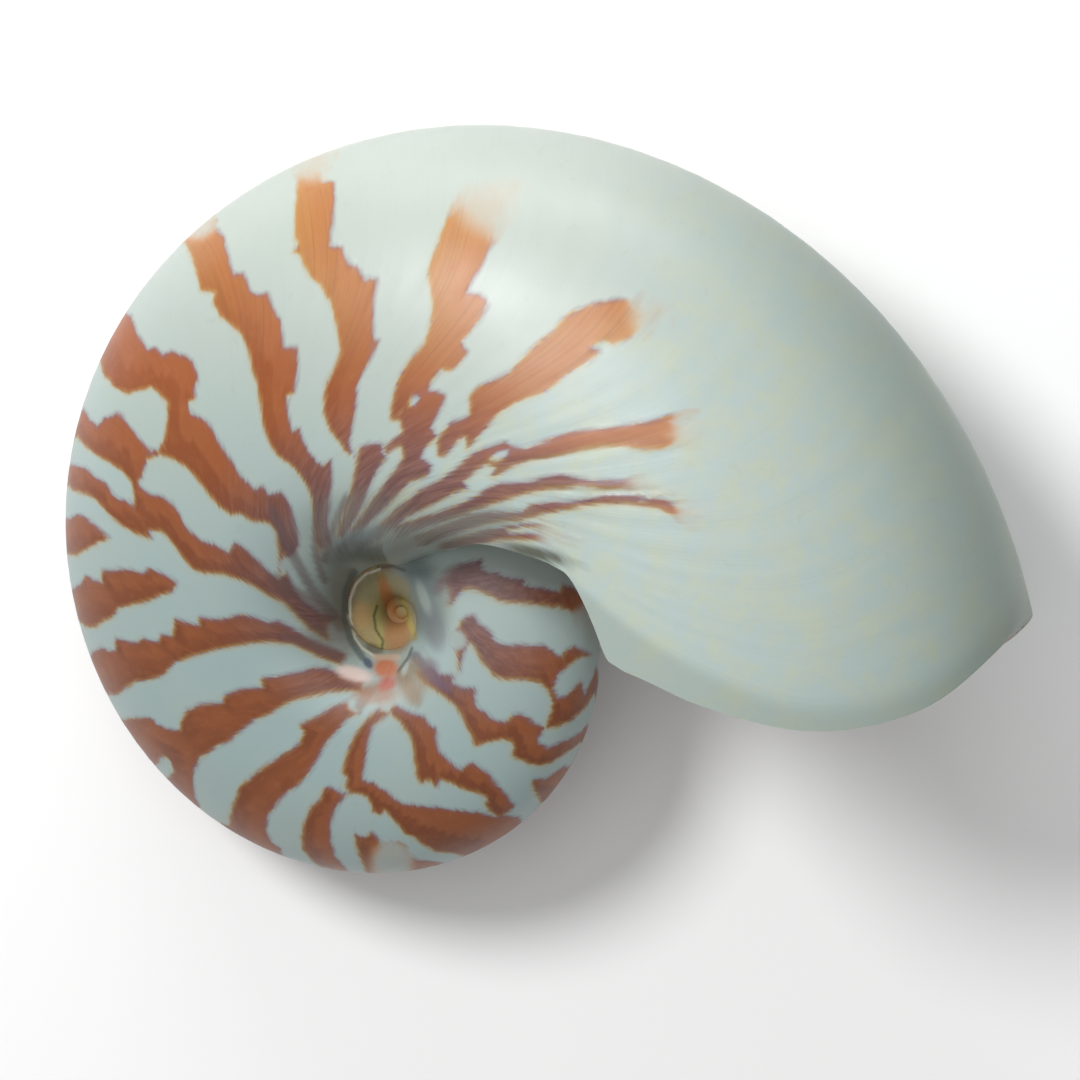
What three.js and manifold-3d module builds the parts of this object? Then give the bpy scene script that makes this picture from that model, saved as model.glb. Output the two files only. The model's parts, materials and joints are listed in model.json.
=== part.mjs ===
// Nautilus shell, lying on one flank as a loose shell comes to rest. Millimetres, +Z up.
// The shell is first made about its coiling axis: the coil's pole is at the origin, the plane of
// symmetry is XY, and the opening is on the +X side. Turn angles run clockwise from +X, in degrees,
// the way in which the shell grew. The opening is near 360.
import * as THREE from "three";
import { mergeVertices } from "three/addons/utils/BufferGeometryUtils.js";
import Module from "manifold-3d";

const wasm = await Module();
wasm.setup();

// The coil
const OUTER_RADIUS = 105.8; // from the pole to the outer curve, at turn 360
const GROWTH = 3.2; // each whorl is this many times the size of the one before
const FIRST_TURN = -700;
const LIP_TURN = 355.5; // the middle of the outer lip
const BUD_RADIUS = 1.8; // the closed start of the coil

// The whorl's half section in shares of its outer radius: distance from the coiling axis, half width
const UMBILICAL_WALL = [0.14, 0.27];
const SHOULDER = [0.25, 0.36];
const FLANK = [0.4, 0.36];
const OUTER_FLANK = [0.72, 0.36];
const KEEL_ROUNDING = [1, 0.24];
const KEEL = [1, 0];
const FLANK_SHARE = 0.35; // the share of the half section that lies between the seam and the flank

// Near the opening the wall leaves the umbilicus and stands further out on the whorl before
const RELEASE_FROM = 286;
const RELEASE_TO = 340;
const RELEASED_SEAM = 0.5; // how far out on the curve of the whorl before, from its flank to its keel
const RELEASED_WALL = [0.28, 0.18];
const RELEASED_SHOULDER = [0.31, 0.36];
const RELEASED_FLANK = [0.45, 0.36];
const SEAM_SINK = 0.04; // share by which the seam lies inside the whorl before

// How far the lip runs ahead of its middle, in degrees, at a share of the half section from the seam
// to the keel. It bulges forward on the flank, runs straight back along the shoulder, and falls
// further back towards the umbilicus.
const LIP_LEAD = [
  [0, -41],
  [0.1, -37.5],
  [0.177, -34.2],
  [0.225, -31.4],
  [0.3, -22.4],
  [0.332, -18],
  [0.344, -14.6],
  [0.35, -7],
  [0.356, 0],
  [0.366, 2.2],
  [0.395, 4.1],
  [0.46, 7.4],
  [0.575, 9.4],
  [0.72, 7.4],
  [0.86, 3.3],
  [1, 0],
];
const LEAN_FROM = 200; // section rings are flat up to this turn, and lean into the lip's line after it

// The body chamber
const WALL = 2;
const SEPTUM_TURN = 246; // the rim of the last partition
const SEPTUM_DEPTH = 15; // degrees of turn by which its middle lies further back
const SEPTUM_MIDDLE = 0.62; // share of the outer radius
const SIPHON_RADIUS = 2.2;
const SIPHON_DEPTH = 8;
const BEYOND_LIP = 14; // degrees by which the hollow's cutter runs out past the lip

// Facets. The section's points are closer together where the lip's line turns.
const WALL_SHARES = [0, 0.1, 0.18, 0.25, 0.3, 0.332, 0.344];
const OUTER_SHARES = [0.35, 0.355, 0.363, 0.385, 0.42, 0.48, 0.56, 0.65, 0.74, 0.83, 0.92, 1];
const TURN_STEP = 7.5;
const INNER_TURN_STEP = 14; // on the small early whorls
const EARLY_WHORLS = -130; // the whorls up to this turn are the early ones
const SEPTUM_RINGS = 4;

// How the loose shell lies: turned about +X, then about +Y, in degrees
const REST_ABOUT_X = 6.25;
const REST_ABOUT_Y = -11.43;

const { lerp, smoothstep, degToRad } = THREE.MathUtils;

const outerRadius = (turn) => OUTER_RADIUS * GROWTH ** ((turn - 360) / 360);

const blend = (from, to, share) => new THREE.Vector2(...from).lerp(new THREE.Vector2(...to), share);

// From a whorl's flank over its outer curve to its keel
const outerCurve = (flank) =>
  new THREE.CubicBezierCurve(
    flank,
    new THREE.Vector2(...OUTER_FLANK),
    new THREE.Vector2(...KEEL_ROUNDING),
    new THREE.Vector2(...KEEL),
  );

const fullCurve = outerCurve(new THREE.Vector2(...FLANK));

// The seam, on the curve of the whorl before and a little inside it
function seamAt(release) {
  return fullCurve.getPoint(RELEASED_SEAM * release).multiplyScalar((1 - SEAM_SINK) / GROWTH);
}

// The two curves of the half section at a turn
function halfSection(turn) {
  const release = smoothstep(turn, RELEASE_FROM, RELEASE_TO);
  const flank = blend(FLANK, RELEASED_FLANK, release);
  const wall = new THREE.CubicBezierCurve(
    seamAt(release),
    blend(UMBILICAL_WALL, RELEASED_WALL, release),
    blend(SHOULDER, RELEASED_SHOULDER, release),
    flank,
  );
  return { wall, outer: outerCurve(flank) };
}

// A smooth line through the lip's points: its slope at each point is that between the two beside it
function lipLead(share) {
  const last = LIP_LEAD.length - 1;
  const slope = (i) => {
    const [a, b] = [LIP_LEAD[Math.max(i - 1, 0)], LIP_LEAD[Math.min(i + 1, last)]];
    return (b[1] - a[1]) / (b[0] - a[0]);
  };
  const i = Math.min(Math.max(LIP_LEAD.findIndex(([at]) => at >= share) - 1, 0), last - 1);
  const [x0, y0] = LIP_LEAD[i];
  const [x1, y1] = LIP_LEAD[i + 1];
  const span = x1 - x0;
  const t = (share - x0) / span;
  const rise = y0 * (1 + 2 * t) * (1 - t) ** 2 + y1 * t * t * (3 - 2 * t);
  return rise + span * (slope(i) * t * (1 - t) ** 2 - slope(i + 1) * t * t * (1 - t));
}

// A point of the whorl's near half, moved inward by the wall's thickness where the hollow is wanted.
// The hollow's first point goes down into the whorl before.
function sectionPoint(turn, share, inset) {
  const lean = smoothstep(turn, LEAN_FROM, LIP_TURN);
  const at = turn + lean * lipLead(share);
  const { wall, outer } = halfSection(at);
  const onWall = share < FLANK_SHARE;
  const curve = onWall ? wall : outer;
  const along = onWall ? share / FLANK_SHARE : (share - FLANK_SHARE) / (1 - FLANK_SHARE);
  const point = curve.getPoint(along).multiplyScalar(outerRadius(at));
  const tangent = curve.getTangent(along);
  const distance = point.x + inset * (share > 0 ? tangent.y : -1);
  const width = Math.max(point.y - inset * tangent.x, 0);
  const angle = degToRad(at);
  return new THREE.Vector3(distance * Math.cos(angle), -distance * Math.sin(angle), width);
}

const mirrored = (p) => new THREE.Vector3(p.x, p.y, -p.z);

// A closed ring: up the near half to the keel and back down the far half
function ring(turn, inset = 0) {
  const near = [...WALL_SHARES, ...OUTER_SHARES].map((share) => sectionPoint(turn, share, inset));
  const far = near.slice(0, -1).reverse().map(mirrored);
  return [...near, ...far];
}

// A closed solid through a row of rings with equal numbers of points, each end filled
// by strips between the two halves
function tube(rings) {
  const count = rings[0].length;
  const positions = rings.flat().flatMap((p) => [p.x, p.y, p.z]);
  const triangles = [];
  for (let r = 0; r + 1 < rings.length; r++) {
    for (let i = 0; i < count; i++) {
      const a = r * count + i;
      const b = r * count + ((i + 1) % count);
      triangles.push(a, a + count, b, b, a + count, b + count);
    }
  }
  const cap = (first, flip) => {
    for (let i = 0; 2 * i + 2 < count; i++) {
      const [a, b, c, d] = [i, i + 1, count - 2 - i, count - 1 - i].map((n) => first + n);
      const faces = b === c ? [[a, b, d]] : [[a, b, d], [b, c, d]];
      for (const face of faces) {
        triangles.push(...(flip ? face.reverse() : face));
      }
    }
  };
  cap(0, false);
  cap((rings.length - 1) * count, true);
  const geometry = new THREE.BufferGeometry();
  geometry.setAttribute("position", new THREE.Float32BufferAttribute(positions, 3));
  geometry.setIndex(triangles);
  return solid(geometry);
}

function solid(geometry) {
  const bare = geometry.clone();
  bare.deleteAttribute("normal");
  bare.deleteAttribute("uv");
  const merged = mergeVertices(bare, 1e-4);
  const mesh = new wasm.Mesh({
    numProp: 3,
    vertProperties: new Float32Array(merged.attributes.position.array),
    triVerts: new Uint32Array(merged.index.array),
  });
  return new wasm.Manifold(mesh);
}

// Rings of a whorl from one turn to another
function whorl(from, to, inset = 0) {
  const step = to > EARLY_WHORLS ? TURN_STEP : INNER_TURN_STEP;
  const steps = Math.ceil((to - from) / step);
  const rings = [];
  for (let i = 0; i <= steps; i++) {
    rings.push(ring(lerp(from, to, i / steps), inset));
  }
  return rings;
}

// The last partition bows back, away from the opening, and its rings close on its middle
function septumRings() {
  const rings = [];
  for (let i = SEPTUM_RINGS; i > 0; i--) {
    const arc = (0.97 * (Math.PI / 2) * i) / SEPTUM_RINGS;
    const turn = SEPTUM_TURN - SEPTUM_DEPTH * Math.sin(arc);
    const angle = degToRad(turn);
    const radius = SEPTUM_MIDDLE * outerRadius(turn);
    const middle = new THREE.Vector3(radius * Math.cos(angle), -radius * Math.sin(angle), 0);
    rings.push(ring(turn, WALL).map((p) => p.lerp(middle, 1 - Math.cos(arc))));
  }
  return rings;
}

// The siphon's hole runs on back from the middle of the partition
function siphonHole() {
  const turn = SEPTUM_TURN - SEPTUM_DEPTH;
  const angle = degToRad(turn);
  const radius = SEPTUM_MIDDLE * outerRadius(turn);
  const hole = new THREE.CylinderGeometry(SIPHON_RADIUS, SIPHON_RADIUS, 2 * SIPHON_DEPTH, 12);
  hole.rotateZ(-angle);
  hole.translate(radius * Math.cos(angle), -radius * Math.sin(angle), 0);
  return solid(hole);
}

// A coil overlaps itself, so it is joined from lengths of less than a whorl
function makeShell() {
  const hollow = tube([...septumRings(), ...whorl(SEPTUM_TURN, LIP_TURN + BEYOND_LIP, WALL)]);
  const lengths = [FIRST_TURN, FIRST_TURN / 2 - 65, EARLY_WHORLS, 120, LIP_TURN];
  let shell = solid(new THREE.SphereGeometry(BUD_RADIUS, 12, 8));
  for (let i = 1; i < lengths.length; i++) {
    const length = tube(whorl(lengths[i - 1], lengths[i]));
    shell = shell.add(lengths[i] === LIP_TURN ? length.subtract(hollow) : length);
  }
  // Hair-thin offcuts at the joints are left out
  const pieces = shell.subtract(siphonHole()).decompose();
  return pieces.reduce((a, b) => (a.volume() > b.volume() ? a : b));
}

function toGeometry(manifold) {
  const mesh = manifold.getMesh();
  const geometry = new THREE.BufferGeometry();
  const points = new THREE.Float32BufferAttribute(mesh.vertProperties, mesh.numProp);
  geometry.setAttribute("position", points);
  geometry.setIndex(new THREE.BufferAttribute(mesh.triVerts, 1));
  return geometry;
}

// Lay the shell down, its lowest point on the ground and the middle of its outline over the origin
const geometry = toGeometry(makeShell());
geometry.rotateX(degToRad(REST_ABOUT_X));
geometry.rotateY(degToRad(REST_ABOUT_Y));
geometry.computeBoundingBox();
const { min, max } = geometry.boundingBox;
geometry.translate(-(min.x + max.x) / 2, -(min.y + max.y) / 2, -min.z);
geometry.computeVertexNormals();

const porcelain = new THREE.MeshStandardMaterial({ color: 0xc9cfc4, roughness: 0.3, metalness: 0 });
const shell = new THREE.Mesh(geometry, porcelain);
shell.name = "shell";

const part = new THREE.Group();
part.name = "nautilus_shell";
part.add(shell);

export default part;
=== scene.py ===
"""The looks of a nautilus shell lying on one flank: surface, stripes, mother-of-pearl, studio."""
import json

import bpy
import numpy as np
from mathutils import Matrix, Vector
from mathutils.kdtree import KDTree

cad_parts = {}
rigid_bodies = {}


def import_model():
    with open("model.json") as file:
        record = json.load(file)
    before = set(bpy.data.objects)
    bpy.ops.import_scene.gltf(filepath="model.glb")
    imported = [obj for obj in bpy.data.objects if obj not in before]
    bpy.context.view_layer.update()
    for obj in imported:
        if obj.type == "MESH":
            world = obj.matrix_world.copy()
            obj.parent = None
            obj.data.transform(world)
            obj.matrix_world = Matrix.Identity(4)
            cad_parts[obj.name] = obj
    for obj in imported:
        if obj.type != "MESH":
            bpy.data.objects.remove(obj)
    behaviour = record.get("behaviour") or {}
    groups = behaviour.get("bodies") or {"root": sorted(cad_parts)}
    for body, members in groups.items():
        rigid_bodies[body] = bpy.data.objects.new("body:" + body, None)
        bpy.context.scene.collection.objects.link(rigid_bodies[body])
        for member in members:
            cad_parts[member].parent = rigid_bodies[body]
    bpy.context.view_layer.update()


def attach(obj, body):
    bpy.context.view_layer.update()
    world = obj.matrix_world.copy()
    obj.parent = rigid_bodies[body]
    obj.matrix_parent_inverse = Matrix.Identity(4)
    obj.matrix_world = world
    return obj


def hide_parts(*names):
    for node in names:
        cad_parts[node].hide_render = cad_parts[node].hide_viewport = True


for leftover in list(bpy.data.objects):
    bpy.data.objects.remove(leftover)
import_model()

MM = 0.001

# The coil, in the shell's own frame (mm, coiling axis Z, turns in degrees clockwise)
OUTER_RADIUS = 105.8
GROWTH = 3.2
FIRST_TURN = -700.0
LIP_TURN = 355.5
BUD_RADIUS = 1.8
UMBILICAL_WALL = (0.14, 0.27)
SHOULDER = (0.25, 0.36)
FLANK = (0.4, 0.36)
OUTER_FLANK = (0.72, 0.36)
KEEL_ROUNDING = (1.0, 0.24)
KEEL = (1.0, 0.0)
FLANK_SHARE = 0.35
RELEASE_FROM, RELEASE_TO = 286.0, 340.0
RELEASED_SEAM = 0.5
RELEASED_WALL = (0.28, 0.18)
RELEASED_SHOULDER = (0.31, 0.36)
RELEASED_FLANK = (0.45, 0.36)
SEAM_SINK = 0.04
LIP_LEAD = [(0, -41), (0.1, -37.5), (0.177, -34.2), (0.225, -31.4), (0.3, -22.4), (0.332, -18),
            (0.344, -14.6), (0.35, -7), (0.356, 0), (0.366, 2.2), (0.395, 4.1), (0.46, 7.4),
            (0.575, 9.4), (0.72, 7.4), (0.86, 3.3), (1, 0)]
GROWTH_LEAD = [(0, -44), (0.12, -38), (0.225, -30), (0.3, -21), (0.345, -12), (0.39, -3), (0.46, 4),
               (0.575, 8.5), (0.72, 7.2), (0.86, 3.4), (1, 0)]
LEAN_FROM = 200.0
WALL = 2.0
SEPTUM_TURN, SEPTUM_DEPTH, SEPTUM_MIDDLE = 246.0, 15.0, 0.62
SIPHON_RADIUS, SIPHON_DEPTH = 2.2, 8.0
BEYOND_LIP = 14.0

# How the shell lies, and where its pole is in the row's frame (mm)
REST_ABOUT_X, REST_ABOUT_Y = np.radians(6.25), np.radians(-11.43)
POLE = np.array((-21.793, -17.646, 26.871))

# The photograph's view of the coil: pixels, and the camera's turn to the right and above
MIDDLE_PX = 540.0
VIEW_DISTANCE_PX = 3500.0
POLE_RIGHT_PX, POLE_UP_PX = -135.6, -71.3
VIEW_RIGHT, VIEW_ABOVE = np.radians(19.7), np.radians(10.1)
MM_PER_PX = 0.16583

# The stripes, as outlines on the photograph in pixels: points off the coil carry them over its keel
STRIPES = {
    "left_upper": [(118, 305), (131, 317), (138, 335), (147, 350), (155, 348), (163, 355), (172, 352),
     (186, 357), (192, 361), (198, 376), (194, 390), (197, 399), (188, 402), (190, 414), (206, 420),
     (213, 431), (221, 446), (232, 463), (240, 476), (255, 490), (262, 486), (268, 495), (281, 492),
     (290, 505), (297, 530), (299, 547), (288, 560), (280, 573), (279, 555), (276, 532), (270, 524),
     (262, 522), (252, 522), (240, 514), (230, 515), (218, 506), (204, 488), (192, 473), (182, 464),
     (170, 458), (160, 455), (152, 458), (147, 453), (158, 450), (164, 440), (167, 420), (168, 403),
     (160, 394), (150, 387), (140, 390), (128, 394), (115, 388), (104, 376), (100, 362), (85, 362)],
    "left_middle": [(60, 462), (72, 465), (85, 468), (95, 477), (106, 484), (112, 494), (118, 500),
     (125, 500), (134, 506), (134, 495), (131, 482), (122, 471), (110, 463), (97, 456), (85, 446), (78, 438),
     (62, 438), (70, 408), (84, 409), (90, 420), (97, 426), (104, 418), (112, 416), (117, 413), (123, 417),
     (131, 429), (141, 441), (150, 451), (158, 456), (147, 460), (144, 469), (141, 479), (137, 483),
     (142, 489), (150, 494), (163, 497), (173, 505), (180, 514), (183, 524), (190, 532), (201, 541),
     (215, 545), (228, 553), (236, 542), (246, 550), (258, 561), (268, 571), (277, 580), (287, 573),
     (294, 589), (304, 602), (320, 612), (342, 620), (340, 632), (328, 641), (308, 628), (295, 615),
     (282, 602), (268, 596), (255, 587), (240, 580), (222, 574), (205, 574), (192, 569), (182, 557),
     (176, 548), (168, 537), (160, 531), (149, 531), (152, 540), (136, 534), (122, 526), (112, 518),
     (105, 510), (97, 501), (88, 495), (78, 493), (69, 487), (55, 487)],
    "left_spot": [(55, 515), (70, 519), (77, 514), (84, 517), (95, 525), (103, 532), (110, 538), (98, 543),
     (88, 549), (78, 555), (70, 555), (55, 556)],
    "left_lower": [(60, 590), (75, 588), (80, 585), (86, 576), (94, 580), (102, 583), (101, 570), (113, 571),
     (122, 569), (134, 571), (143, 573), (150, 568), (160, 573), (170, 578), (178, 583), (171, 593),
     (161, 595), (154, 599), (144, 603), (133, 605), (119, 608), (113, 617), (104, 621), (98, 626),
     (88, 628), (82, 624), (66, 626)],
    "low_long": [(75, 656), (92, 653), (103, 647), (108, 652), (115, 650), (115, 638), (124, 641),
     (137, 643), (143, 638), (150, 641), (158, 642), (161, 635), (172, 636), (175, 619), (187, 623),
     (199, 625), (199, 617), (211, 619), (222, 619), (235, 616), (243, 614), (256, 618), (268, 623),
     (278, 621), (290, 627), (301, 634), (312, 641), (326, 647), (350, 656), (350, 668), (332, 662),
     (318, 657), (305, 650), (292, 644), (275, 643), (256, 643), (238, 646), (220, 649), (203, 653),
     (190, 658), (176, 662), (170, 668), (162, 676), (150, 680), (136, 682), (126, 688), (119, 694),
     (108, 695), (90, 700)],
    "low_forked": [(105, 722), (122, 720), (135, 718), (151, 718), (157, 724), (166, 729), (180, 730),
     (181, 721), (187, 710), (200, 705), (213, 703), (222, 703), (224, 695), (238, 690), (252, 688),
     (262, 688), (261, 678), (275, 677), (288, 674), (300, 672), (312, 668), (326, 668), (350, 676),
     (372, 684), (365, 692), (345, 691), (326, 693), (310, 697), (295, 700), (283, 705), (270, 714),
     (255, 720), (241, 730), (228, 742), (215, 748), (200, 758), (194, 770), (193, 783), (195, 797),
     (201, 808), (190, 825), (160, 795), (150, 785), (168, 778), (174, 770), (170, 761), (163, 755),
     (158, 763), (145, 775)],
    "bottom_curved": [(350, 700), (330, 708), (316, 717), (300, 725), (303, 733), (300, 742), (290, 750),
     (275, 760), (262, 768), (250, 778), (240, 786), (236, 797), (230, 813), (229, 826), (221, 823),
     (205, 845), (275, 880), (283, 858), (280, 848), (271, 842), (266, 830), (268, 815), (278, 802),
     (286, 793), (298, 785), (307, 775), (316, 761), (323, 747), (334, 734), (346, 720), (360, 712)],
    "bottom_short": [(324, 788), (331, 787), (338, 792), (346, 794), (341, 800), (334, 810), (330, 825),
     (331, 842), (335, 856), (345, 868), (350, 885), (315, 880), (320, 868), (312, 861), (303, 850),
     (301, 838), (305, 820), (311, 807), (320, 799)],
    "bottom_hooked": [(385, 705), (371, 714), (362, 725), (355, 735), (349, 748), (344, 762), (342, 773),
     (347, 778), (345, 786), (350, 794), (358, 794), (365, 796), (370, 802), (373, 812), (380, 815),
     (385, 810), (391, 818), (398, 825), (405, 834), (415, 838), (424, 846), (436, 852), (450, 853),
     (464, 856), (470, 875), (530, 840), (519, 817), (505, 816), (495, 817), (480, 813), (460, 811),
     (440, 808), (420, 806), (405, 804), (395, 800), (388, 793), (380, 788), (372, 783), (362, 780),
     (364, 768), (366, 755), (368, 740), (372, 726), (392, 712)],
    "bottom_blot": [(354, 833), (361, 837), (366, 837), (372, 832), (377, 837), (380, 843), (388, 846),
     (396, 842), (405, 846), (408, 856), (418, 860), (430, 861), (444, 863), (430, 880), (405, 885),
     (402, 869), (395, 864), (387, 861), (384, 868), (388, 885), (368, 885), (364, 866), (360, 858),
     (356, 847)],
    "under_stepped": [(385, 700), (400, 708), (412, 714), (423, 717), (430, 726), (436, 728), (436, 741),
     (438, 751), (445, 757), (452, 765), (460, 770), (466, 765), (473, 763), (481, 769), (490, 775),
     (493, 781), (500, 788), (508, 798), (515, 806), (506, 814), (498, 817), (490, 812), (484, 803),
     (488, 799), (475, 792), (465, 790), (458, 787), (450, 783), (441, 780), (436, 787), (428, 780),
     (421, 784), (417, 779), (415, 765), (413, 748), (409, 734), (404, 729), (400, 722), (392, 716)],
    "right_low": [(420, 655), (427, 661), (433, 669), (440, 675), (454, 675), (452, 683), (462, 688),
     (476, 688), (474, 700), (477, 708), (484, 712), (490, 718), (500, 722), (508, 721), (512, 715),
     (520, 714), (528, 718), (535, 724), (546, 727), (540, 735), (537, 742), (548, 748), (560, 743),
     (571, 738), (581, 732), (589, 722), (612, 710), (600, 745), (583, 740), (573, 749), (562, 756),
     (551, 763), (540, 766), (529, 764), (519, 760), (511, 756), (514, 748), (510, 741), (500, 740),
     (491, 742), (482, 744), (475, 747), (470, 733), (462, 718), (455, 706), (445, 698), (434, 690),
     (422, 682), (415, 668)],
    "right_middle": [(455, 640), (457, 631), (460, 622), (466, 617), (474, 615), (478, 623), (484, 627),
     (491, 633), (494, 641), (501, 645), (520, 645), (545, 646), (553, 652), (560, 657), (567, 650),
     (575, 647), (584, 651), (592, 655), (580, 657), (567, 667), (558, 675), (553, 690), (557, 698),
     (566, 696), (573, 690), (580, 681), (585, 693), (592, 680), (598, 662), (615, 665), (612, 695),
     (593, 695), (587, 706), (580, 713), (570, 722), (557, 727), (545, 729), (549, 716), (553, 706),
     (551, 697), (546, 689), (540, 683), (525, 680), (505, 680), (493, 676), (487, 668), (480, 660),
     (476, 651), (470, 643), (465, 648), (462, 658), (459, 673), (457, 658)],
    "right_upper": [(432, 592), (440, 583), (447, 577), (455, 569), (465, 564), (475, 561), (482, 559),
     (480, 568), (487, 572), (496, 573), (505, 577), (528, 580), (523, 586), (540, 588), (559, 592),
     (563, 585), (573, 588), (581, 594), (586, 606), (591, 628), (584, 620), (575, 614), (568, 610),
     (558, 607), (545, 606), (530, 604), (515, 603), (500, 602), (490, 596), (480, 592), (472, 589),
     (462, 590), (457, 597), (450, 606), (443, 602)],
    "right_spot": [(531, 780), (545, 779), (555, 773), (564, 766), (590, 775), (560, 815), (540, 802),
     (537, 796), (533, 789)],
    "crown_first": [(172, 230), (205, 200), (215, 220), (217, 231), (224, 237), (228, 256), (233, 275),
     (243, 272), (250, 291), (257, 295), (268, 293), (272, 306), (276, 316), (281, 322), (283, 348),
     (297, 348), (297, 371), (295, 393), (286, 396), (288, 415), (292, 432), (299, 428), (303, 441),
     (308, 451), (315, 460), (322, 466), (331, 460), (332, 480), (329, 500), (328, 525), (335, 560),
     (322, 562), (316, 540), (314, 520), (312, 500), (307, 486), (298, 473), (288, 463), (276, 455),
     (268, 441), (263, 425), (260, 405), (257, 386), (252, 370), (248, 350), (242, 335), (232, 326),
     (220, 316), (212, 302), (216, 292), (200, 290), (197, 276), (193, 262), (188, 247)],
    "crown_second": [(295, 140), (325, 135), (330, 157), (325, 170), (321, 182), (334, 182), (334, 200),
     (332, 221), (329, 246), (342, 248), (347, 264), (358, 267), (364, 281), (378, 278), (374, 300),
     (372, 336), (379, 342), (371, 358), (362, 373), (357, 386), (356, 405), (352, 426), (349, 444),
     (354, 457), (346, 453), (338, 440), (330, 432), (324, 415), (323, 400), (326, 385), (335, 366),
     (341, 350), (338, 335), (334, 315), (329, 300), (320, 285), (310, 277), (304, 265), (300, 255),
     (291, 251), (300, 246), (295, 238), (295, 210), (298, 185), (299, 165)],
    "crown_dark": [(360, 448), (369, 444), (381, 443), (382, 452), (386, 458), (378, 468), (372, 481),
     (365, 497), (358, 514), (348, 532), (340, 548), (333, 548), (341, 520), (349, 498), (353, 480),
     (356, 463)],
    "crown_third": [(452, 205), (478, 188), (515, 185), (505, 215), (492, 243), (481, 267), (470, 286),
     (467, 293), (480, 295), (489, 302), (481, 318), (470, 331), (461, 342), (468, 352), (460, 363),
     (450, 371), (440, 370), (431, 381), (428, 390), (438, 392), (446, 398), (438, 412), (431, 428),
     (437, 438), (426, 447), (421, 458), (432, 466), (427, 477), (410, 482), (396, 497), (380, 512),
     (362, 530), (350, 545), (345, 538), (358, 520), (372, 500), (385, 482), (396, 470), (403, 458),
     (401, 445), (393, 449), (386, 455), (384, 448), (392, 440), (402, 433), (400, 421), (390, 420),
     (391, 408), (394, 392), (401, 374), (412, 358), (425, 342), (432, 320), (432, 296), (428, 276),
     (432, 256), (440, 238), (446, 222)],
    "crown_fourth": [(665, 312), (640, 304), (620, 299), (600, 302), (585, 308), (570, 312), (562, 318),
     (555, 330), (545, 338), (530, 350), (520, 360), (510, 372), (495, 380), (480, 385), (470, 395),
     (469, 406), (470, 416), (460, 420), (450, 422), (445, 430), (438, 437), (436, 446), (438, 456),
     (443, 457), (450, 450), (458, 440), (466, 437), (467, 449), (473, 443), (481, 432), (490, 423),
     (501, 412), (515, 403), (530, 398), (546, 391), (560, 380), (576, 369), (590, 360), (601, 352),
     (590, 347), (605, 339), (613, 346), (628, 338), (642, 328)],
    "side_upper": [(690, 412), (672, 415), (655, 420), (635, 424), (610, 428), (590, 430), (570, 432),
     (555, 437), (540, 443), (526, 449), (512, 447), (505, 441), (494, 445), (480, 450), (469, 456),
     (460, 465), (450, 473), (438, 481), (420, 490), (405, 502), (390, 515), (372, 531), (362, 545),
     (372, 548), (392, 530), (405, 518), (425, 508), (440, 501), (452, 494), (468, 489), (463, 483),
     (475, 472), (485, 465), (496, 468), (490, 478), (500, 474), (514, 466), (530, 460), (546, 459),
     (560, 456), (580, 450), (600, 447), (625, 446), (640, 449), (662, 449), (690, 440)],
    "side_middle": [(660, 492), (640, 483), (610, 481), (590, 480), (572, 477), (560, 474), (545, 478),
     (530, 482), (515, 483), (500, 483), (488, 488), (478, 495), (465, 502), (450, 508), (435, 514),
     (420, 518), (395, 526), (380, 540), (395, 540), (425, 527), (450, 520), (470, 513), (490, 505),
     (510, 499), (525, 494), (545, 490), (565, 490), (580, 486), (600, 489), (625, 489), (650, 497)],
    "side_lower": [(695, 508), (680, 508), (665, 500), (640, 497), (610, 495), (590, 499), (570, 501),
     (550, 502), (530, 505), (522, 512), (505, 513), (490, 512), (470, 515), (450, 521), (430, 530),
     (405, 540), (400, 548), (425, 546), (450, 535), (475, 527), (500, 522), (520, 521), (540, 515),
     (560, 511), (580, 507), (600, 504), (620, 503), (640, 506), (658, 508), (672, 516), (688, 521),
     (695, 516)],
    "side_lowest": [(560, 528), (540, 524), (520, 524), (500, 527), (480, 531), (460, 537), (440, 543),
     (420, 549), (420, 556), (445, 549), (470, 545), (500, 540), (530, 540), (560, 541), (575, 538),
     (555, 533), (535, 534), (510, 534), (505, 531), (520, 527)],
}

# Bare islands inside the stripes
ISLANDS = {
    "side_island": [(489, 460), (497, 451), (509, 449), (506, 457), (498, 461)],
    "crown_island": [(408, 404), (411, 397), (418, 395), (420, 399), (414, 406)],
}

# Where stripes fade instead of ending: spots (pixels), and how far around each they are faint
FADES = {
    "crown_first": [((198, 222), 26), ((332, 556), 16)],
    "crown_second": [((312, 150), 46)],
    "crown_dark": [((340, 548), 14)],
    "crown_third": [((500, 190), 70), ((352, 542), 14)],
    "crown_fourth": [((672, 312), 62)],
    "side_upper": [((695, 430), 34), ((366, 545), 16)],
    "side_middle": [((664, 492), 50), ((385, 538), 16)],
    "side_lower": [((700, 514), 34), ((405, 545), 16)],
    "side_lowest": [((575, 535), 50), ((420, 552), 30)],
    "right_upper": [((592, 624), 30), ((434, 594), 22)],
    "right_middle": [((457, 640), 14)],
    "right_low": [((418, 658), 20)],
    "under_stepped": [((388, 700), 12)],
    "bottom_hooked": [((388, 704), 12)],
    "bottom_blot": [((392, 862), 30)],
    "bottom_curved": [((356, 704), 12)],
    "low_forked": [((370, 688), 12)],
    "low_long": [((350, 662), 12)],
    "left_upper": [((287, 566), 12)],
    "left_middle": [((338, 630), 16)],
}

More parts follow.
